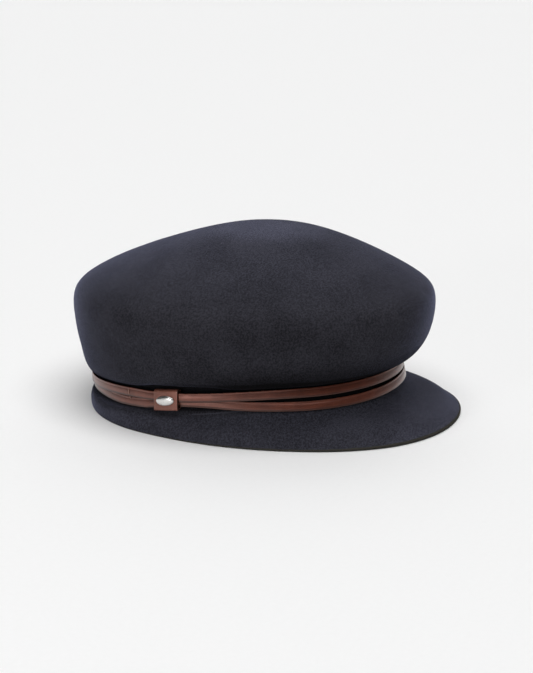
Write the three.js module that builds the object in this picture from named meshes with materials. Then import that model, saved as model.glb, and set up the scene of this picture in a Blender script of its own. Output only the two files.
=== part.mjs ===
// A sailor cap of navy wool felt, blocked in one piece: a domed crown that swells over the head,
// a short downturned flange round the back and sides, and a visor that grows out of the flange.
// Two narrow leather strips lie one above the other in the crease between crown and flange.
// A leather keeper on the wearer's right draws them together and carries a small metal stud.
//
// Millimetres, +Z up, the visor towards -Y and the keeper towards -X. The cap rests on z = 0,
// on the edge of its flange and visor. Angles run round the head from the front towards +X.

import * as THREE from "three";

// Felt body
const FELT_THICKNESS = 2.2;
const WAIST_LENGTH = 198.6; // outside of the felt at the crease, front to back
const WAIST_WIDTH = 166.4; // outside of the felt at the crease, side to side
const CREASE_FRONT_RISE = 36.1; // of the crease between crown and seat, above the floor
const CREASE_BACK_RISE = 19.9;
const CREASE_MARGIN = 1.3; // felt left bare between the upper strip and the crease, at the back
const FOOT_MARGIN = 0.5; // felt left bare between the lower strip and the brim
const GROOVE_DEPTH = 0.2; // how far the felt dips behind the strips
const SEAT_LEAN = 3.5; // how far the seat's bottom edge stands out in front

// Crown
const SHOULDER_RISE = 69.8;
const SHOULDER_TILT = 1.8; // degrees, front higher
const CROWN_RISE = 119.3;
const FRONT_OVERHANG = 22.7; // of the crown's widest line over the crease
const SIDE_OVERHANG = 15;
const BACK_OVERHANG = 14.1;
const APEX_SHIFT = 17; // of the crown's top, forwards from the middle of its widest line

// Visor and flange
const VISOR_PROJECTION = 40.2; // beyond the crease, at the middle of the front
const FLANGE_FLARE = 8.6; // beyond the crease, at the sides
const VISOR_EDGE = 2; // height of the visor's cut edge
const VISOR_UNDERCUT = 0.3; // how far the lower corner stands back, as a share of a square cut

// Leather strips
const STRIP_WIDTH = 6;
const STRIP_THICKNESS = 1.1;
const STRIP_EDGE = 0.3; // chamfer along the outer edges
const STRIP_PARTING = 2.3; // widest gap between the strips, in front
const CLEARANCE = 0.3; // between any two neighbouring layers

// Keeper
const KEEPER_ANGLE = -102.3; // degrees from the front
const KEEPER_WIDTH = 16.4; // along the strips
const KEEPER_WALL = 1.1;
const KEEPER_CORNER = 0.3; // inside radius of its folds
const KEEPER_SLACK = 0.4; // room left above the strips
const KEEPER_TURN = 0.9; // how much its front end rides higher than its back end
const KEEPER_HEADROOM = 2.4; // how much further up the crease runs over the keeper

// Stud
const STUD_LENGTH = 12.4;
const STUD_HEIGHT = 6.4;
const STUD_RIM = 0.5; // thickness at its edge
const STUD_DOME = 0.9; // rise of its middle above the edge

// Fineness of the mesh
const COLUMNS = 60;
const STEPS_PER_SECTION = 2;
const STRIP_STATIONS = 80;
const KEEPER_STATIONS = 7;
const KEEPER_CORNER_STEPS = 3;
const STUD_SECTORS = 24;

// The felt below and along the crease, the same on both sides, by degrees from the front.
// crease: share of the rise from back to front. bare: share of the margin over the strips.
// parting: height of the seat over that of two strips, as a share of the strips' widest gap.
// flange: share of the flange's flare. visor: share of the way from there to the visor's projection.
// puff: how rounded the brim is, from a hollow slope to a swell close under the strips.
const ROUND_ROWS = [
  { angle: 0, crease: 1, bare: 0.56, parting: 1, flange: 1, visor: 1, puff: 0 },
  { angle: 15, crease: 0.989, bare: 0.56, parting: 1, flange: 1, visor: 0.99, puff: 0 },
  { angle: 30, crease: 0.97, bare: 0.6, parting: 1, flange: 1, visor: 0.9, puff: 0 },
  { angle: 45, crease: 0.947, bare: 0.72, parting: 1, flange: 1, visor: 0.67, puff: 0 },
  { angle: 60, crease: 0.917, bare: 0.7, parting: 0.75, flange: 1, visor: 0.415, puff: 0 },
  { angle: 75, crease: 0.837, bare: 0.9, parting: 0.3, flange: 1, visor: 0.232, puff: 0 },
  { angle: 90, crease: 0.679, bare: 1, parting: 0.15, flange: 1, visor: 0.096, puff: 0.1 },
  { angle: 105, crease: 0.544, bare: 1, parting: 0.15, flange: 1, visor: 0.01, puff: 0.3 },
  { angle: 120, crease: 0.414, bare: 1, parting: 0.2, flange: 1, visor: 0, puff: 0.6 },
  { angle: 135, crease: 0.266, bare: 1, parting: 0.15, flange: 0.8, visor: 0, puff: 0.85 },
  { angle: 150, crease: 0.133, bare: 1, parting: -0.6, flange: 0.5, visor: 0, puff: 1 },
  { angle: 165, crease: 0.043, bare: 1, parting: -1, flange: 0.37, visor: 0, puff: 1 },
  { angle: 180, crease: 0, bare: 1, parting: -1, flange: 0.37, visor: 0, puff: 1 },
];

// The strips, by degrees from the front, positive towards the wearer's left.
// parting: gap between them, as a share of the widest, negative where the lower one is tucked in.
// over: how far the upper strip has climbed on the lower one.
const STRIP_ROWS = [
  { angle: -180, parting: -1.2, over: 1 },
  { angle: -155, parting: -1.25, over: 1 },
  { angle: -140, parting: -0.7, over: 1 },
  { angle: -127, parting: 0.12, over: 1 },
  { angle: -114, parting: 0.05, over: 1 },
  { angle: -105, parting: -0.75, over: 1 },
  { angle: -97, parting: -1.3, over: 1 },
  { angle: -87, parting: -0.9, over: 1 },
  { angle: -78, parting: -0.05, over: 1 },
  { angle: -68, parting: 0.55, over: 0.6 },
  { angle: -57, parting: 0.9, over: 0.1 },
  { angle: -45, parting: 1, over: 0 },
  { angle: -28, parting: 1, over: 0 },
  { angle: -12, parting: 0.75, over: 0 },
  { angle: 5, parting: 0.45, over: 0 },
  { angle: 25, parting: 0.25, over: 0 },
  { angle: 60, parting: 0.15, over: 0 },
  { angle: 110, parting: 0.15, over: 0 },
  { angle: 130, parting: 0.15, over: 1 },
  { angle: 150, parting: -0.8, over: 1 },
  { angle: 165, parting: -1.2, over: 1 },
  { angle: 180, parting: -1.2, over: 1 },
];

// Sections of the brim from the seat out to the rim, as shares of the run outwards and of the drop.
const BRIM_ROWS = [
  { run: 0.14, drop: 0.22, puffRun: 0.65, puffDrop: 0.14 },
  { run: 0.42, drop: 0.4, puffRun: 0.95, puffDrop: 0.4 },
  { run: 0.74, drop: 0.61, puffRun: 1.04, puffDrop: 0.7 },
];

// Crown wall, from the crease to the widest line, as shares of its rise and of each overhang.
const WALL_ROWS = [
  { rise: 0.02, front: 0.2, side: 0.28, back: 0.26 },
  { rise: 0.14, front: 0.5, side: 0.54, back: 0.5 },
  { rise: 0.34, front: 0.75, side: 0.7, back: 0.67 },
  { rise: 0.56, front: 0.9, side: 0.85, back: 0.84 },
  { rise: 0.79, front: 0.98, side: 0.96, back: 0.95 },
  { rise: 1, front: 1, side: 1, back: 1 },
];

// Crown top, from the widest line to the apex, as shares of its rise, of the widest line and
// of the apex's shift.
const DOME_ROWS = [
  { rise: 0.15, reach: 0.986, forward: 0 },
  { rise: 0.28, reach: 0.925, forward: 0.02 },
  { rise: 0.474, reach: 0.777, forward: 0.16 },
  { rise: 0.66, reach: 0.602, forward: 0.38 },
  { rise: 0.84, reach: 0.4, forward: 0.61 },
  { rise: 0.96, reach: 0.21, forward: 0.75 },
];

// Stud, from its base to its top, as shares of its outline, of its rim and of its dome.
const STUD_ROWS = [
  { size: 0.5, rim: 0, dome: 0 },
  { size: 0.97, rim: 0, dome: 0 },
  { size: 1, rim: 0.5, dome: 0 },
  { size: 0.96, rim: 1, dome: 0 },
  { size: 0.85, rim: 1, dome: 0.4 },
  { size: 0.6, rim: 1, dome: 0.78 },
  { size: 0.3, rim: 1, dome: 0.95 },
];

// Where things happen round the head, in degrees.
const SEAT_LEAN_BLEND = { from: 95, to: 35 };
const STEP_UP_MARGIN = 1; // beyond the keeper's ends, where the strips still lie on its inner wall
const STEP_UP_REACH = 10; // of their way up there
const HEADROOM_LEAD = 5; // of the headroom's middle ahead of the keeper's
const HEADROOM_BLEND = { from: 19, to: 11 }; // either side of the headroom's middle

const degrees = THREE.MathUtils.degToRad;
const smoothstep = THREE.MathUtils.smoothstep;
const lerp = THREE.MathUtils.lerp;

function angleFrom(angle, middle) {
  const turn = angle - degrees(middle);
  return THREE.MathUtils.radToDeg(Math.abs(Math.atan2(Math.sin(turn), Math.cos(turn))));
}

// 1 within `to` of a middle, 0 beyond `from`, and smooth between.
function nearness(angle, middle, { from, to }) {
  return 1 - smoothstep(angleFrom(angle, middle), to, from);
}

// Smooth reading of a table of rows by angle.
function rowReader(rows) {
  const columns = Object.keys(rows[0]).filter((key) => key !== "angle");
  const positions = rows.map((row) => row.angle);
  const values = rows.flatMap((row) => columns.map((key) => row[key]));
  const curve = new THREE.CubicInterpolant(positions, values, columns.length);
  curve.settings = { endingStart: THREE.ZeroSlopeEnding, endingEnd: THREE.ZeroSlopeEnding };
  return (angle) => {
    const result = curve.evaluate(angle);
    return Object.fromEntries(columns.map((key, index) => [key, result[index]]));
  };
}

const readRound = rowReader(ROUND_ROWS);
const readStrips = rowReader(STRIP_ROWS);
const roundAt = (angle) => readRound(angleFrom(angle, 0));
const stripsAt = (angle) => readStrips(Math.sign(Math.sin(angle)) * angleFrom(angle, 0));

function ovalPoint(angle, halfLength, halfWidth, forward = 0, rise = 0) {
  return new THREE.Vector3(
    halfWidth * Math.sin(angle),
    -halfLength * Math.cos(angle) - forward,
    rise,
  );
}

const waistHalfLength = WAIST_LENGTH / 2;
const waistHalfWidth = WAIST_WIDTH / 2;

function headroom(angle) {
  return KEEPER_HEADROOM * nearness(angle, KEEPER_ANGLE + HEADROOM_LEAD, HEADROOM_BLEND);
}

function creaseRise(angle) {
  return lerp(CREASE_BACK_RISE, CREASE_FRONT_RISE, roundAt(angle).crease) + headroom(angle);
}

// Felt left bare between the upper strip and the crease.
function bareAbove(angle) {
  return CREASE_MARGIN * roundAt(angle).bare + headroom(angle);
}

function seatHeight(angle) {
  return bareAbove(angle) + 2 * STRIP_WIDTH + STRIP_PARTING * roundAt(angle).parting + FOOT_MARGIN;
}

function seatBottom(angle) {
  const lean = SEAT_LEAN * nearness(angle, 0, SEAT_LEAN_BLEND);
  const rise = creaseRise(angle) - seatHeight(angle);
  return ovalPoint(angle, waistHalfLength + lean, waistHalfWidth + lean, 0, rise);
}

function crease(angle) {
  return ovalPoint(angle, waistHalfLength, waistHalfWidth, 0, creaseRise(angle));
}

// The strips lie on the straight slope from the seat's bottom edge up to the crease.
// up runs along that slope, and out stands square to it.
function seatFrame(angle) {
  const step = 1e-3;
  const base = seatBottom(angle);
  const up = crease(angle).sub(base);
  const along = seatBottom(angle + step).sub(seatBottom(angle - step)).normalize();
  const out = along.cross(up).normalize();
  up.normalize();
  return { base, up, out };
}

function seatPoint(angle, up, out) {
  const frame = seatFrame(angle);
  return frame.base.addScaledVector(frame.up, up).addScaledVector(frame.out, out);
}

function rimPoint(angle) {
  const { flange, visor } = roundAt(angle);
  const beyond = lerp(FLANGE_FLARE * flange, VISOR_PROJECTION, visor);
  return ovalPoint(angle, waistHalfLength + beyond, waistHalfWidth + beyond);
}

function brimPoint(angle, { run, drop, puffRun, puffDrop }) {
  const { puff } = roundAt(angle);
  const seat = seatBottom(angle);
  const rim = rimPoint(angle);
  const point = seat.clone().lerp(rim, lerp(run, puffRun, puff));
  point.z = lerp(seat.z, rim.z, lerp(drop, puffDrop, puff));
  return point;
}

function shoulderRise(point) {
  return SHOULDER_RISE - point.y * Math.tan(degrees(SHOULDER_TILT));
}

function wallPoint(angle, { rise, front, side, back }) {
  const frontOut = FRONT_OVERHANG * front;
  const backOut = BACK_OVERHANG * back;
  const point = ovalPoint(
    angle,
    waistHalfLength + (frontOut + backOut) / 2,
    waistHalfWidth + SIDE_OVERHANG * side,
    (frontOut - backOut) / 2,
  );
  point.z = lerp(creaseRise(angle), shoulderRise(point), rise);
  return point;
}

const widestForward = (FRONT_OVERHANG - BACK_OVERHANG) / 2;

function domePoint(angle, { rise, reach, forward }) {
  const point = ovalPoint(
    angle,
    (waistHalfLength + (FRONT_OVERHANG + BACK_OVERHANG) / 2) * reach,
    (waistHalfWidth + SIDE_OVERHANG) * reach,
    widestForward + APEX_SHIFT * forward,
  );
  point.z = lerp(shoulderRise(point), CROWN_RISE, rise);
  return point;
}

function apexPoint() {
  return new THREE.Vector3(0, -widestForward - APEX_SHIFT, CROWN_RISE);
}

function sectionPoints(angle) {
  return [
    rimPoint(angle),
    ...BRIM_ROWS.toReversed().map((row) => brimPoint(angle, row)),
    seatBottom(angle),
    seatPoint(angle, seatHeight(angle) / 2, -GROOVE_DEPTH),
    crease(angle),
    ...WALL_ROWS.map((row) => wallPoint(angle, row)),
    ...DOME_ROWS.map((row) => domePoint(angle, row)),
  ];
}

// One column of the felt's outer face, from the rim up to just short of the apex.
// The curve runs on past the apex into the opposite column, so that the top stays round.
function feltColumn(angle) {
  const sections = sectionPoints(angle);
  const beyond = sectionPoints(angle + Math.PI).at(-1);
  const curve = new THREE.CatmullRomCurve3([...sections, apexPoint(), beyond]);
  const rings = sections.length * STEPS_PER_SECTION;
  const steps = rings + STEPS_PER_SECTION;
  return Array.from({ length: rings }, (_, ring) => curve.getPoint(ring / steps));
}

function evenAngles(count) {
  return Array.from({ length: count }, (_, index) => (2 * Math.PI * index) / count);
}

// Joins rings of equal length into one closed surface. Without tips, the last ring meets the first.
function closedSurface(rings, tips = null) {
  const size = rings[0].length;
  const points = rings.flat();
  const faces = [];
  const joins = tips ? rings.length - 1 : rings.length;
  for (let ring = 0; ring < joins; ring += 1) {
    const next = (ring + 1) % rings.length;
    for (let index = 0; index < size; index += 1) {
      const right = (index + 1) % size;
      const corners = [ring * size + index, ring * size + right, next * size + right, next * size + index];
      faces.push(corners[0], corners[1], corners[2], corners[0], corners[2], corners[3]);
    }
  }
  if (tips) {
    const first = points.push(tips[0]) - 1;
    const last = points.push(tips[1]) - 1;
    const lastRing = (rings.length - 1) * size;
    for (let index = 0; index < size; index += 1) {
      const right = (index + 1) % size;
      faces.push(first, right, index);
      faces.push(last, lastRing + index, lastRing + right);
    }
  }
  const geometry = new THREE.BufferGeometry().setFromPoints(points);
  geometry.setIndex(faces);
  geometry.computeVertexNormals();
  return geometry;
}

// Outward direction at each point of the felt's outer face, from its neighbours.
function feltNormals(columns) {
  const count = columns.length;
  return columns.map((column, index) => {
    const before = columns[(index + count - 1) % count];
    const after = columns[(index + 1) % count];
    return column.map((_, ring) => {
      const low = Math.max(ring - 1, 0);
      const high = Math.min(ring + 1, column.length - 1);
      const across = after[ring].clone().sub(before[ring]);
      const rising = column[high].clone().sub(column[low]);
      return across.cross(rising).normalize();
    });
  });
}

// The visor's edge is cut upright, and its lower corner touches the floor.
// Round the back and sides the edge is trimmed level, and rests flat on the floor.
function feltBody() {
  const angles = evenAngles(COLUMNS);
  const columns = angles.map(feltColumn);
  const normals = feltNormals(columns);
  const inner = columns.map((column, index) =>
    column.map((point, ring) => point.clone().addScaledVector(normals[index][ring], -FELT_THICKNESS)),
  );
  columns.forEach((column, index) => {
    const { visor } = roundAt(angles[index]);
    const lower = column[0].clone();
    inner[index][0].lerp(lower, (1 - VISOR_UNDERCUT) * visor).setZ(0);
    column[0].z = VISOR_EDGE * Math.max(visor, 0);
  });
  const ringsOf = (sides) => sides[0].map((_, ring) => sides.map((side) => side[ring]));
  const outerTip = apexPoint();
  const innerTip = outerTip.clone().setZ(CROWN_RISE - FELT_THICKNESS);
  return closedSurface([...ringsOf(inner).toReversed(), ...ringsOf(columns)], [innerTip, outerTip]);
}

function seatRadiusAtKeeper() {
  const step = 0.01;
  const start = seatPoint(degrees(KEEPER_ANGLE), 0, 0);
  return seatPoint(degrees(KEEPER_ANGLE) + step, 0, 0).distanceTo(start) / step;
}

const keeperHalfAngle = THREE.MathUtils.radToDeg(KEEPER_WIDTH / 2 / seatRadiusAtKeeper());
const layer = STRIP_THICKNESS + CLEARANCE;
const stepUp = KEEPER_WALL + CLEARANCE;

function stripClimb(angle) {
  const beyond = keeperHalfAngle + STEP_UP_MARGIN;
  return 1 - smoothstep(angleFrom(angle, KEEPER_ANGLE), beyond, beyond + STEP_UP_REACH);
}

function upperStripSeat(angle) {
  const bottom = seatHeight(angle) - bareAbove(angle) - STRIP_WIDTH;
  return { bottom, out: CLEARANCE + stepUp * stripClimb(angle) + layer * stripsAt(angle).over };
}

function lowerStripSeat(angle) {
  const bottom = upperStripSeat(angle).bottom - STRIP_WIDTH - STRIP_PARTING * stripsAt(angle).parting;
  return { bottom, out: CLEARANCE + stepUp * stripClimb(angle) };
}

// A strip is a closed loop round the head: its ends are joined out of sight in the keeper.
function strip(seatOf) {
  const rings = evenAngles(STRIP_STATIONS).map((angle) => {
    const { bottom, out } = seatOf(angle);
    const top = bottom + STRIP_WIDTH;
    const face = out + STRIP_THICKNESS;
    return [
      seatPoint(angle, bottom, out),
      seatPoint(angle, top, out),
      seatPoint(angle, top, face - STRIP_EDGE),
      seatPoint(angle, top - STRIP_EDGE, face),
      seatPoint(angle, bottom + STRIP_EDGE, face),
      seatPoint(angle, bottom, face - STRIP_EDGE),
    ];
  });
  return closedSurface(rings);
}

// Outline of a rectangle with round corners, as (up, out) pairs.
function roundedRectangle(bottom, top, near, far, radius) {
  const corners = [
    { up: bottom + radius, out: near + radius, start: Math.PI },
    { up: top - radius, out: near + radius, start: -Math.PI / 2 },
    { up: top - radius, out: far - radius, start: 0 },
    { up: bottom + radius, out: far - radius, start: Math.PI / 2 },
  ];
  return corners.flatMap(({ up, out, start }) =>
    Array.from({ length: KEEPER_CORNER_STEPS + 1 }, (_, step) => {
      const turn = start + (Math.PI / 2) * (step / KEEPER_CORNER_STEPS);
      return { up: up + radius * Math.cos(turn), out: out + radius * Math.sin(turn) };
    }),
  );
}

// Where along the keeper, from -1 at its back end to 1 at its front end.
function keeperAngleAt(share) {
  return degrees(KEEPER_ANGLE + keeperHalfAngle * share);
}

function keeperPoint(share, up, out) {
  return seatPoint(keeperAngleAt(share), up + (KEEPER_TURN * (share + 1)) / 2, out);
}

// Room for both strips, one upon the other, all along the keeper.
function keeperChannel() {
  const places = [-1, -0.5, 0, 0.5, 1].map(keeperAngleAt);
  const lower = places.map(lowerStripSeat);
  const upper = places.map(upperStripSeat);
  return {
    bottom: Math.min(...lower.map(({ bottom }) => bottom)) - CLEARANCE,
    top: Math.max(...upper.map(({ bottom }) => bottom + STRIP_WIDTH)) + KEEPER_SLACK,
    near: lower[0].out - CLEARANCE,
    far: upper[0].out + STRIP_THICKNESS + CLEARANCE,
  };
}

const channel = keeperChannel();
const keeperFace = channel.far + KEEPER_WALL;

// A flattened leather sleeve, folded round both strips and open at its two ends.
function keeper() {
  const inside = roundedRectangle(channel.bottom, channel.top, channel.near, channel.far, KEEPER_CORNER);
  const outside = roundedRectangle(
    channel.bottom - KEEPER_WALL,
    channel.top + KEEPER_WALL,
    channel.near - KEEPER_WALL,
    keeperFace,
    KEEPER_CORNER + KEEPER_WALL,
  );
  const step = 2 / (KEEPER_STATIONS - 1);
  const shares = Array.from({ length: KEEPER_STATIONS }, (_, station) => station * step - 1);
  const ring = (outline, share) => outline.map(({ up, out }) => keeperPoint(share, up, out));
  return closedSurface([
    ...shares.map((share) => ring(outside, share)),
    ...shares.toReversed().map((share) => ring(inside, share)),
  ]);
}

// A plain domed oval that follows the keeper's curved face.
function stud() {
  const middle = (channel.bottom + channel.top) / 2;
  const base = keeperFace + CLEARANCE;
  const point = (turn, size, out) =>
    keeperPoint(
      (STUD_LENGTH / KEEPER_WIDTH) * size * Math.cos(turn),
      middle + (STUD_HEIGHT / 2) * size * Math.sin(turn),
      base + out,
    );
  const rings = STUD_ROWS.map(({ size, rim, dome }) =>
    evenAngles(STUD_SECTORS).map((turn) => point(turn, size, STUD_RIM * rim + STUD_DOME * dome)),
  );
  return closedSurface(rings, [point(0, 0, 0), point(0, 0, STUD_RIM + STUD_DOME)]);
}

const feltFinish = new THREE.MeshStandardMaterial({ color: 0x23242f, roughness: 0.95, metalness: 0 });
const leatherFinish = new THREE.MeshStandardMaterial({ color: 0x6b3a30, roughness: 0.5, metalness: 0 });
const metalFinish = new THREE.MeshStandardMaterial({ color: 0xd8d6cf, roughness: 0.25, metalness: 1 });

function piece(name, geometry, material) {
  const mesh = new THREE.Mesh(geometry, material);
  mesh.name = name;
  return mesh;
}

const cap = new THREE.Group();
cap.add(
  piece("felt_body", feltBody(), feltFinish),
  piece("lower_strip", strip(lowerStripSeat), leatherFinish),
  piece("upper_strip", strip(upperStripSeat), leatherFinish),
  piece("keeper", keeper(), leatherFinish),
  piece("stud", stud(), metalFinish),
);

// The origin is on the floor, under the middle of the cap's outline.
const reach = new THREE.Box3().setFromObject(cap);
const middle = reach.getCenter(new THREE.Vector3());
cap.position.set(-middle.x, -middle.y, 0);

export default cap;
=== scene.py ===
"""The looks of a moulded navy felt cap with a band of two leather strips.

Everything is in metres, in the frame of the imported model: the visor towards -Y, the keeper
towards -X, the floor at z = 0. Angles run round the head from the front towards +X.
"""

import math

import bmesh
import bpy
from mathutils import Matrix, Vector


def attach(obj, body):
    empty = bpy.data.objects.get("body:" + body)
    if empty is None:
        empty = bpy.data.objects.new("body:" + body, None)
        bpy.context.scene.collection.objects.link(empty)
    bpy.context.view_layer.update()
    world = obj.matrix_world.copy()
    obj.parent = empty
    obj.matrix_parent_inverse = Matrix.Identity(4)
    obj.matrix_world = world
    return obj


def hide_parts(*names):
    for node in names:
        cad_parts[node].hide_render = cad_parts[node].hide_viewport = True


MM = 0.001

# The head's oval at the band, which the strips follow.
HEAD_CENTRE = Vector((0, 13.05, 0)) * MM
HEAD_HALF_WIDTH = 83.2 * MM
HEAD_HALF_LENGTH = 99.3 * MM
HEAD_RADIUS = 90 * MM  # of the round that stands in for it along the leather's streaks
STRIP_STATIONS = 80
STRIP_WIDTH = 6 * MM
STRIP_SWELL = 0.25 * MM  # rise of a strip's face over its edges
STRIP_LEAN = 0.72 * MM  # how far its lower edge stands out beyond its upper edge
KEEPER_ALONG = Vector((-0.18, -0.984, 0))  # the way along the band under the keeper

# The crease between crown and band, as seen from the side: it falls towards the back, and it
# is level in front.
CREASE_RISE = 32.2 * MM  # at y = 0
CREASE_SLOPE = 0.104
CREASE_TOP = 35.5 * MM

# The moulding line in the felt, as seen from the side.
LINE_RISE = 17.7 * MM  # at y = 0
LINE_SLOPE = 0.152

VISOR_EDGE = 2.1 * MM  # the cut rim lies below this height
CROWN_TOP = Vector((0, -8.3, 0)) * MM  # where the crown's faces meet, seen from above
CROWN_TOP_REACH = 25 * MM  # the corners nearer to it keep their places

WELD = 0.002 * MM  # corners closer than this are one
LENGTH_SLACK = 1e-9  # between edges that count as equally long
SUBDIVISIONS = 2
SWELL_FACTOR = -0.66  # of the smoothing that undoes what the subdivision draws in
BEVEL_SEGMENTS = 2
RIM_BEVEL = 0.45 * MM
STRIP_BEVEL = 0.12 * MM
KEEPER_BEVEL = 0.18 * MM

# The bar tack: a place on the upper strip's face, the ways out of it and along it, and the
# thread's path over both strips as distances out and heights.
TACK_FACE = Vector((-74.2, 64.6, 0)) * MM
TACK_OUT = Vector((-0.903, 0.43, 0))
TACK_ALONG = Vector((0.43, 0.903, 0))
TACK_PATH = [
    (out * MM, rise * MM) for out, rise in (
        (-0.5, 24.3), (0.1, 24.0), (0.2, 22.5), (0.2, 21.0),
        (-1.2, 18.9), (-1.25, 17.4), (-1.9, 17.0),
    )
]
THREAD_RADIUS = 0.27 * MM
THREAD_CORNERS = 8
THREAD_OFFSET = 0.28 * MM  # of each thread from the middle of the pair

# The camera, fitted to the photograph, and the place that it was fitted about.
CAP_MIDDLE = Vector((0, 13.05, 55)) * MM
CAMERA_DISTANCE = 1.7
PHOTO_HEIGHT = 673  # in pixels, the unit of the camera's shift

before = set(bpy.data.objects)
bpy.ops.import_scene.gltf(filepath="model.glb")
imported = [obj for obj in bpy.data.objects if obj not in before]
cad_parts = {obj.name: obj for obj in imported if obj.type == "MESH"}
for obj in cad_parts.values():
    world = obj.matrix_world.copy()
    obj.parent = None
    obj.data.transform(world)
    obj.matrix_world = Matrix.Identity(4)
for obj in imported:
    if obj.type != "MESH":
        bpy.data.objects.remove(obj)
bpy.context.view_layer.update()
scene = bpy.context.scene


# ---------------------------------------------------------------- modelling

def take_up(piece):
    """Selects one piece alone, ready for operators."""
    bpy.ops.object.select_all(action="DESELECT")
    piece.select_set(True)
    bpy.context.view_layer.objects.active = piece


def edit(piece):
    """Opens a piece in edit mode with nothing selected, and hands back its mesh."""
    take_up(piece)
    bpy.ops.object.mode_set(mode="EDIT")
    bpy.ops.mesh.select_all(action="DESELECT")
    return bmesh.from_edit_mesh(piece.data)


def put_down():
    bpy.ops.object.mode_set(mode="OBJECT")


def pick_edges(mesh, test):
    """Selects the edges that pass a test, and hands them back."""
    bpy.ops.mesh.select_mode(type="EDGE")
    bpy.ops.mesh.select_all(action="DESELECT")
    chosen = [edge for edge in mesh.edges if test(edge)]
    for edge in chosen:
        edge.select = True
    mesh.select_flush_mode()
    return chosen


def sharper_than(degrees):
    return lambda edge: edge.calc_face_angle(0) > math.radians(degrees)


def splits_a_quad(edge):
    """True for an edge that is the longest of both triangles beside it."""
    length = edge.calc_length()
    return len(edge.link_faces) == 2 and all(
        length >= max(side.calc_length() for side in face.edges) - LENGTH_SLACK
        for face in edge.link_faces
    )


def copy_node(node, name):
    """A CAD node's shape as a new piece, its triangles merged into four-sided faces."""
    piece = bpy.data.objects.new(name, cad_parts[node].data.copy())
    scene.collection.objects.link(piece)
    piece.data.materials.clear()
    edit(piece)
    bpy.ops.mesh.select_all(action="SELECT")
    bpy.ops.mesh.remove_doubles(threshold=WELD)
    pick_edges(bmesh.from_edit_mesh(piece.data), splits_a_quad)
    bpy.ops.mesh.dissolve_edges(use_verts=False)
    put_down()
    return piece


def apply(piece, kind, **settings):
    """Adds one modifier with these settings and applies it."""
    take_up(piece)
    modifier = piece.modifiers.new(kind.title(), kind)
    for setting, value in settings.items():
        setattr(modifier, setting, value)
    bpy.ops.object.modifier_apply(modifier=modifier.name)


def subdivide(piece):
    apply(piece, "SUBSURF", levels=SUBDIVISIONS, render_levels=SUBDIVISIONS)


def hold_size(piece, group):
    """Swells a group's corners by as much as the subdivision that follows draws them in."""
    apply(piece, "SMOOTH", factor=SWELL_FACTOR, iterations=1, vertex_group=group)


def bevel_edges(width, **settings):
    """Rounds the selected edges."""
    bpy.ops.mesh.bevel(offset=width, segments=BEVEL_SEGMENTS, affect="EDGES", **settings)


def finish(piece, slot, *nodes, smooth=180):
    """Smooths a piece and lets it ride in place of the nodes that it stands for."""
    take_up(piece)
    bpy.ops.object.shade_smooth_by_angle(angle=math.radians(smooth))
    if nodes:
        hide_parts(*nodes)
    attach(piece, "root")


# ---------------------------------------------------------------- materials

class Wire:
    """A socket of a material's nodes. Sums and products of wires add the Math nodes."""

    def __init__(self, tree, socket=None):
        self.tree = tree
        self.socket = socket

    def node(self, kind, sockets=(), output=0, **settings):
        """A new node: its settings first, then the values or wires of its sockets."""
        made = self.tree.nodes.new("ShaderNode" + kind)
        for name, value in settings.items():
            setattr(made, name, value)
        for name, value in dict(sockets).items():
            if isinstance(value, Wire):
                self.tree.links.new(value.socket, made.inputs[name])
            else:
                made.inputs[name].default_value = value
        return Wire(self.tree, made.outputs[output])

    def math(self, operation, first, second=0.0):
        return self.node("Math", {0: first, 1: second}, operation=operation)

    def __add__(self, other):
        return self.math("ADD", self, other)

    def __sub__(self, other):
        return self.math("SUBTRACT", self, other)

    def __rsub__(self, other):
        return self.math("SUBTRACT", other, self)

    def __mul__(self, other):
        return self.math("MULTIPLY", self, other)

    def __neg__(self):
        return self.math("MULTIPLY", self, -1)

    def __abs__(self):
        return self.math("ABSOLUTE", self)

    __radd__ = __add__
    __rmul__ = __mul__

    def smaller(self, other):
        return self.math("MINIMUM", self, other)

    def larger(self, other):
        return self.math("MAXIMUM", self, other)

    def parts(self):
        """The x, y and z of a vector."""
        return [self.node("SeparateXYZ", {0: self}, output=index) for index in range(3)]

    def noise(self, scale, detail=2, roughness=0.5, distortion=0.0):
        return self.node("TexNoise", {
            "Vector": self, "Scale": scale, "Detail": detail,
            "Roughness": roughness, "Distortion": distortion,
        })

    def stretched(self, x, y, z):
        return self.node("Mapping", {"Vector": self, "Scale": (x, y, z)})

    def fade(self, low, high):
        """0 at low and 1 at high, smooth between them."""
        return self.node(
            "MapRange", {"Value": self, "From Min": low, "From Max": high},
            interpolation_type="SMOOTHSTEP",
        )

    def mix(self, low, high):
        """One colour where this wire is 0 and another where it is 1."""
        return self.node("Mix", {0: self, 6: low, 7: high}, output=2, data_type="RGBA")

    def bump(self, distance, strength=1.0):
        return self.node("Bump", {"Height": self, "Distance": distance, "Strength": strength})


def colour(red, green, blue):
    return (red, green, blue, 1)


def new_finish(name, **constants):
    """A material with its constant values on the shader's own sockets.

    Hands back the material, a wire with the place on the piece, and a function that feeds wires
    to the shader's sockets.
    """
    material = bpy.data.materials.new(name)
    material.use_nodes = True
    nodes = material.node_tree
    shader = nodes.nodes["Principled BSDF"]

    def socket(word):
        return shader.inputs[word.replace("_", " ").title().replace("Ior", "IOR")]

    def feed(**wires):
        for word, wire in wires.items():
            nodes.links.new(wire.socket, socket(word))

    for word, value in constants.items():
        socket(word).default_value = value
    return material, Wire(nodes).node("TexCoord", output=3), feed


def blend(material, amount, second):
    """Mixes a second shader into a material, by a wire from 0 to 1."""
    nodes = material.node_tree
    first = Wire(nodes, nodes.nodes["Principled BSDF"].outputs[0])
    mixed = amount.node("MixShader", {0: amount, 1: first, 2: second})
    nodes.links.new(mixed.socket, nodes.nodes["Material Output"].inputs[0])


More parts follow.
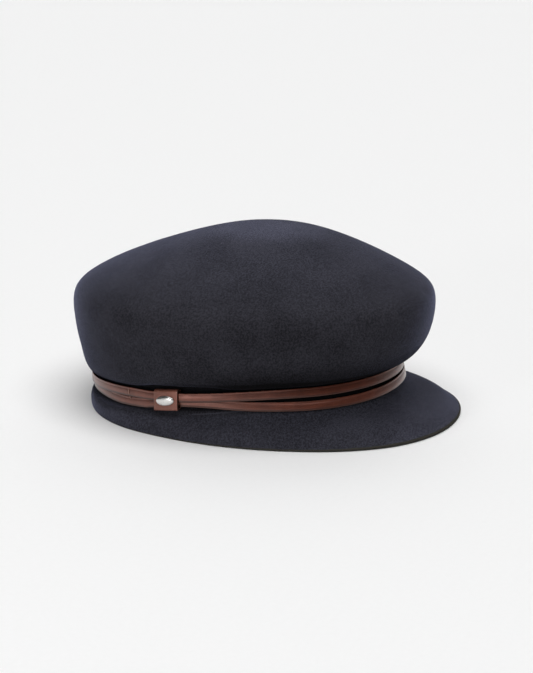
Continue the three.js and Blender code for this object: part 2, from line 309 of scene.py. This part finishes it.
def moulding_line(place):
    """The faint line that the block left in the felt, just below the band beside the keeper."""
    x, y, z = place.parts()
    off = abs(z - LINE_RISE + LINE_SLOPE * y)
    on_the_line = 1 - off.fade(0.15 * MM, 0.65 * MM)
    along = y.fade(-26 * MM, -10 * MM) * (1 - y.fade(12 * MM, 24 * MM))
    keeper_side = 1 - x.fade(-80 * MM, -70 * MM)
    return on_the_line * along * keeper_side


def above_the_crease(place):
    """Height over the crease."""
    _, y, z = place.parts()
    return z - (CREASE_RISE - CREASE_SLOPE * y).smaller(CREASE_TOP)


def painted_crease_shade(place):
    """Painted shade where the felt meets the band: behind the strips, under the crown's roll,
    and above them over the visor.
    """
    above = above_the_crease(place)
    _, y, _ = place.parts()
    ahead = 1 - y.fade(-25 * MM, 40 * MM)
    further_up = (1 - y.fade(30 * MM, 55 * MM)) * 3 * MM
    under_the_roll = (1 - (above - further_up).fade(0.5 * MM, 5 * MM)) * (0.7 + 0.3 * ahead)
    over_the_visor = (1 - above.fade(-2 * MM, 20 * MM)) * ahead
    over_the_brim = above.fade(-14.2 * MM, -12.5 * MM)
    return over_the_brim * under_the_roll.larger(over_the_visor)


def painted_felt_sheen(place):
    """Painted highlight and sheen in a paler felt colour: on the brim, mostly at its ends, and
    on top, strongest at the crest.
    """
    _, y, z = place.parts()
    on_the_brim = 1 - above_the_crease(place).fade(-18 * MM, -14 * MM)
    back = y.fade(30 * MM, 90 * MM)
    front = 1 - y.fade(-118 * MM, -88 * MM)
    dome = z.fade(72 * MM, 118 * MM)
    crest = z.fade(112 * MM, 119 * MM)
    return on_the_brim * (0.2 + 0.3 * back + 0.3 * front) + 0.3 * dome + 0.7 * crest


def navy_felt():
    material, place, feed = new_finish(
        "navy_felt", sheen_weight=0.42, sheen_roughness=0.3, sheen_tint=colour(0.52, 0.56, 0.9),
        specular_ior_level=0.12,
    )
    clouds = place.noise(38, 3, 0.55)
    flecks = place.noise(860, 3, 0.75)
    nap = place.noise(1900, 3, 0.7, 1.5)
    line = moulding_line(place)
    shade = (
        clouds.fade(0.35, 0.68) * 0.2 + flecks.fade(0.38, 0.62) * 0.5
        + nap.fade(0.38, 0.62) * 0.3
    )
    relief = (flecks * 0.5 + nap * 0.5 - line * 0.3).bump(0.4 * MM, 0.9)
    lined = shade + line * 0.7
    plain = lined.mix(colour(0.006, 0.0058, 0.0074), colour(0.039, 0.0383, 0.0485))
    # A paler, bluer copy of the felt's colours, for the painted highlight and sheen.
    lit_felt = lined.mix(colour(0.024, 0.0245, 0.035), colour(0.106, 0.108, 0.152))
    feed(
        base_color=painted_felt_sheen(place).mix(plain, lit_felt),
        roughness=0.98 - 0.1 * clouds,
        normal=relief,
    )
    # A near-black felt without sheen, mixed in as painted shade at the crease over the band.
    painted_shade_felt = place.node("BsdfPrincipled", {
        "Base Color": shade.mix(colour(0.001, 0.001, 0.001), colour(0.005, 0.0045, 0.005)),
        "Roughness": 0.95, "Specular IOR Level": 0.05, "Normal": relief,
    })
    blend(material, painted_crease_shade(place) * 0.95, painted_shade_felt)
    return material


def cut_felt():
    material, place, feed = new_finish("cut_felt", specular_ior_level=0.15)
    fibres = place.noise(1500, 4, 0.7)
    feed(
        base_color=fibres.mix(colour(0.012, 0.0115, 0.011), colour(0.065, 0.061, 0.051)),
        roughness=0.9 + 0.1 * fibres,
        normal=fibres.bump(0.3 * MM),
    )
    return material


def leather(name, streak, swell, wear_and_painted_highlight, seam_shade=None):
    """Brown leather with pores.

    The last four are functions of the place: its streaks, the padded rise of its face in
    metres, how far its pale specks show, and the seam's painted shade, 1 in the gap at a
    strip's lower edge.
    """
    material, place, feed = new_finish(
        name, specular_ior_level=0.85, specular_tint=colour(1, 0.52, 0.44),
        coat_weight=0.35, coat_roughness=0.2,
    )
    clouds = place.noise(110, 3, 0.6)
    pores = place.noise(2300, 2, 0.6)
    streaks = streak(place)
    specks = 0.35 + place.noise(700, 2, 0.7).fade(0.55, 0.8) * 0.65
    shade = clouds * 0.4 + streaks * 0.3 + pores * 0.3
    body = shade.fade(0.3, 0.7).mix(colour(0.056, 0.0155, 0.0085), colour(0.165, 0.044, 0.025))
    relief = ((pores * 0.75 + streaks * 0.25) * 0.035 * MM + swell(place)).bump(1.0)
    # Pale worn specks; on the lower strip they also carry a painted highlight.
    face = (specks * wear_and_painted_highlight(place)).mix(body, colour(0.32, 0.155, 0.12))
    feed(
        # Painted shade: the seam's near-black colour along the strips' lower edges.
        base_color=seam_shade(place).mix(face, colour(0.01, 0.005, 0.004)) if seam_shade else face,
        roughness=0.24 + 0.14 * shade,
        normal=relief,
    )
    return material


def up_the_strip(place):
    """0 at a strip's lower edge and 1 at its upper edge."""
    return place.node("Attribute", attribute_name="across", output=2)


def strip_streaks(place):
    """Streaks that run round the head, from the angle and the place across the strip."""
    x, y, _ = place.node(
        "VectorMath", {0: place, 1: HEAD_CENTRE}, operation="SUBTRACT",
    ).parts()
    around = x.math("ARCTAN2", x, -y) * HEAD_RADIUS
    flat = place.node("CombineXYZ", {0: around, 1: up_the_strip(place) * STRIP_WIDTH})
    return flat.stretched(60, 1900, 1).noise(1, 3, 0.6)


def painted_seam_shade(place):
    """Painted shade: a dark line along a strip's lower edge, in the gap below it."""
    return (1 - (up_the_strip(place) * STRIP_WIDTH).fade(0.4 * MM, 0.95 * MM)) * 0.93


def cut_leather():
    material, place, feed = new_finish("cut_leather", specular_ior_level=0.1)
    fibres = place.noise(1800, 3, 0.7)
    feed(
        base_color=fibres.mix(colour(0.012, 0.006, 0.0045), colour(0.06, 0.026, 0.018)),
        roughness=0.75 + 0.2 * fibres,
        normal=fibres.bump(0.1 * MM),
    )
    return material


def strip_swell(place):
    """A padded face that turns a little upwards, as the strips' lower edges stand out."""
    up = up_the_strip(place)
    return up * (1 - up) * 4 * STRIP_SWELL - up * STRIP_LEAN


def light_wear(place):
    return 0.1


def keeper_wear(place):
    return 0.6


def lower_wear_and_painted_highlight(place):
    """Light wear, and a painted highlight on the lower strip where it comes out ahead of the
    keeper.
    """
    x, y, _ = place.parts()
    ahead_of_the_keeper = 1 - abs(y - 14 * MM).fade(12 * MM, 38 * MM)
    keeper_side = 1 - x.fade(-60 * MM, -40 * MM)
    return light_wear(place) + ahead_of_the_keeper * keeper_side * 0.6


def keeper_streaks(place):
    return place.stretched(900, 900, 1200).noise(1, 3, 0.6)


def keeper_swell(place):
    return place.noise(400, 2) * 0.1 * MM - place.parts()[2] * (STRIP_LEAN / STRIP_WIDTH)


def silver():
    material, place, feed = new_finish("silver", metallic=1.0)
    scratches = place.noise(900, 3, 0.6, 0.6)
    feed(
        base_color=scratches.mix(colour(0.62, 0.61, 0.59), colour(0.82, 0.81, 0.79)),
        roughness=0.22 + 0.16 * scratches,
        normal=scratches.bump(0.02 * MM, 0.4),
    )
    return material


def linen_thread():
    material, place, feed = new_finish("linen_thread", specular_ior_level=0.3)
    twist = place.stretched(900, 900, 5200).noise(1, 2, 0.6)
    feed(
        base_color=twist.mix(colour(0.16, 0.08, 0.06), colour(0.42, 0.25, 0.2)),
        roughness=0.6 + 0.2 * twist,
        normal=twist.bump(0.1 * MM),
    )
    return material


# ---------------------------------------------------------------- camera

def direction(azimuth, elevation):
    """From the cap outwards: azimuth in degrees from the front towards +X."""
    a, e = math.radians(azimuth), math.radians(elevation)
    return Vector((math.sin(a) * math.cos(e), -math.cos(a) * math.cos(e), math.sin(e)))


def look_back(thing, out):
    """Turns a camera or light towards the cap, from which it lies outwards, and links it."""
    thing.rotation_euler = (-out).to_track_quat("-Z", "Y").to_euler()
    scene.collection.objects.link(thing)


def portrait_camera():
    """Seen from the wearer's right and a little above, with a long lens."""
    out = direction(azimuth=-69.96, elevation=15.24)
    lens = bpy.data.cameras.new("portrait")
    lens.lens = 141.9
    lens.sensor_width = 36
    lens.shift_x = 19.5 / PHOTO_HEIGHT
    lens.shift_y = -17.35 / PHOTO_HEIGHT
    lens.clip_end = 50
    camera = bpy.data.objects.new("portrait", lens)
    camera.location = CAP_MIDDLE + out * CAMERA_DISTANCE
    look_back(camera, out)
    scene.camera = camera


# ---------------------------------------------------------------- pieces

def moulded_felt():
    """The felt body, with a soft cut rim of a paler felt."""
    piece = copy_node("felt_body", "moulded_felt")
    piece.data.materials.append(navy_felt())
    piece.data.materials.append(cut_felt())
    body = piece.vertex_groups.new(name="body")
    body.add([
        corner.index for corner in piece.data.vertices
        if corner.co.z > VISOR_EDGE and (corner.co - CROWN_TOP).xy.length > CROWN_TOP_REACH
    ], 1, "REPLACE")
    hold_size(piece, "body")
    mesh = edit(piece)
    rim = pick_edges(mesh, lambda edge: sharper_than(40)(edge) and all(
        corner.co.z < VISOR_EDGE for corner in edge.verts
    ))
    corners = {corner for edge in rim for corner in edge.verts}
    for face in mesh.faces:
        face.material_index = int(all(corner in corners for corner in face.verts))
    bevel_edges(RIM_BEVEL, material=1)
    put_down()
    subdivide(piece)
    finish(piece, "felt", "felt_body", smooth=60)


def head_station(corner):
    """Which of the strip's even cross-sections a corner lies in."""
    place = corner.co - HEAD_CENTRE
    turn = math.atan2(place.x / HEAD_HALF_WIDTH, -place.y / HEAD_HALF_LENGTH)
    return round(turn / (2 * math.pi) * STRIP_STATIONS) % STRIP_STATIONS


def mark_across(piece):
    """Writes how far up the strip each corner lies, 0 at the lower edge and 1 at the upper."""
    corners = piece.data.vertices
    stations = {}
    for corner in corners:
        stations.setdefault(head_station(corner), []).append(corner.co.z)
    spans = {station: (min(rises), max(rises)) for station, rises in stations.items()}
    across = piece.data.attributes.new("across", "FLOAT", "POINT")
    for corner in corners:
        low, high = spans[head_station(corner)]
        across.data[corner.index].value = (corner.co.z - low) / (high - low)


def leather_strip(node, name, *finishes):
    """A strip with its grain on its face and back, and cut leather along its edges."""
    piece = copy_node(node, name)
    for material in finishes:
        piece.data.materials.append(material)
    mesh = edit(piece)
    for face in mesh.faces:
        face.material_index = int(face.normal.z > 0.9 or face.normal.z < -0.4)
    pick_edges(mesh, sharper_than(30))
    bevel_edges(STRIP_BEVEL)
    put_down()
    mark_across(piece)
    subdivide(piece)
    finish(piece, "band_leather", node)


def leather_keeper(*finishes):
    """The keeper with its grain on the outside and in, and cut leather along its edges."""
    piece = copy_node("keeper", "leather_keeper")
    for material in finishes:
        piece.data.materials.append(material)
    mesh = edit(piece)
    for face in mesh.faces:
        face.material_index = int(abs(face.normal.dot(KEEPER_ALONG)) > 0.8)
    pick_edges(mesh, sharper_than(70))
    bevel_edges(KEEPER_BEVEL)
    put_down()
    subdivide(piece)
    finish(piece, "keeper_leather", "keeper")


def bar_tack():
    """Two thread stitches side by side, which hold the strips together next to the keeper."""
    bpy.ops.object.select_all(action="DESELECT")
    threads = []
    for along in (-THREAD_OFFSET, THREAD_OFFSET):
        places = [
            TACK_FACE + TACK_OUT * out + TACK_ALONG * along + Vector((0, 0, rise))
            for out, rise in TACK_PATH
        ]
        bpy.ops.mesh.primitive_circle_add(
            vertices=THREAD_CORNERS, radius=THREAD_RADIUS, fill_type="NGON",
            location=places[0],
        )
        thread = bpy.context.object
        bpy.ops.object.transform_apply(location=True)
        bpy.ops.object.mode_set(mode="EDIT")
        bpy.ops.mesh.select_all(action="SELECT")
        for before, after in zip(places, places[1:]):
            bpy.ops.mesh.extrude_region_move(TRANSFORM_OT_translate={"value": after - before})
        bpy.ops.mesh.select_all(action="SELECT")
        bpy.ops.mesh.normals_make_consistent(inside=False)
        put_down()
        threads.append(thread)
    for thread in threads:
        thread.select_set(True)
    bpy.ops.object.join()
    piece = bpy.context.object
    piece.name = piece.data.name = "bar_tack"
    piece.data.materials.append(linen_thread())
    subdivide(piece)
    finish(piece, "band_leather")


def domed_stud():
    piece = copy_node("stud", "domed_stud")
    piece.data.materials.append(silver())
    subdivide(piece)
    finish(piece, "stud_metal", "stud")


# ---------------------------------------------------------------- studio

def floor():
    bpy.ops.object.select_all(action="DESELECT")
    bpy.ops.mesh.primitive_plane_add(size=16, location=(0, 0, 0))
    ground = bpy.context.object
    ground.name = "studio_floor"
    material, place, feed = new_finish("pale_floor", specular_ior_level=0.2)
    grain = place.noise(300, 3)
    feed(
        base_color=grain.mix(colour(0.92, 0.92, 0.92), colour(0.95, 0.95, 0.95)),
        roughness=0.7 + 0.1 * grain,
    )
    ground.data.materials.append(material)


def softbox(name, azimuth, elevation, distance, size, watts):
    """An area light that looks at the cap, placed by its direction and distance from it."""
    out = direction(azimuth, elevation)
    light = bpy.data.lights.new(name, "AREA")
    light.shape = "RECTANGLE"
    light.size, light.size_y = size
    light.energy = watts
    lamp = bpy.data.objects.new(name, light)
    lamp.location = Vector((0, 0, 0.06)) + out * distance
    look_back(lamp, out)


def soft_sun(name, azimuth, elevation, breadth, strength):
    """A broad even light from far away: breadth is the angle that it fills, in degrees."""
    light = bpy.data.lights.new(name, "SUN")
    light.angle = math.radians(breadth)
    light.energy = strength
    look_back(bpy.data.objects.new(name, light), direction(azimuth, elevation))


def white_room():
    """A room that is bright on the side away from the camera, and dim elsewhere."""
    world = bpy.data.worlds.new("white_room")
    scene.world = world
    world.use_nodes = True
    sky = world.node_tree.nodes["Background"]
    view = Wire(world.node_tree).node("TexCoord", output=0)
    bright_side = direction(azimuth=108, elevation=14)
    towards = view.node(
        "VectorMath", {0: view, 1: bright_side}, operation="DOT_PRODUCT", output=1,
    )
    strength = towards.fade(0, 0.5) * 2.9 + 0.12
    world.node_tree.links.new(strength.socket, sky.inputs["Strength"])


def studio():
    floor()
    soft_sun("overhead", azimuth=-55, elevation=75, breadth=60, strength=2.5)
    soft_sun("behind", azimuth=110, elevation=40, breadth=60, strength=0.6)
    softbox("left", azimuth=-112, elevation=7, distance=1.9, size=(0.3, 0.4), watts=5.5)
    white_room()
    scene.view_settings.view_transform = "Standard"


portrait_camera()
moulded_felt()
lower_leather = leather("lower_leather", strip_streaks, strip_swell, lower_wear_and_painted_highlight, painted_seam_shade)
upper_leather = leather("upper_leather", strip_streaks, strip_swell, light_wear, painted_seam_shade)
keeper_leather = leather("keeper_leather", keeper_streaks, keeper_swell, keeper_wear)
cut_edges = cut_leather()
leather_strip("lower_strip", "lower_leather_strip", lower_leather, cut_edges)
leather_strip("upper_strip", "upper_leather_strip", upper_leather, cut_edges)
leather_keeper(keeper_leather, cut_edges)
bar_tack()
domed_stud()
studio()
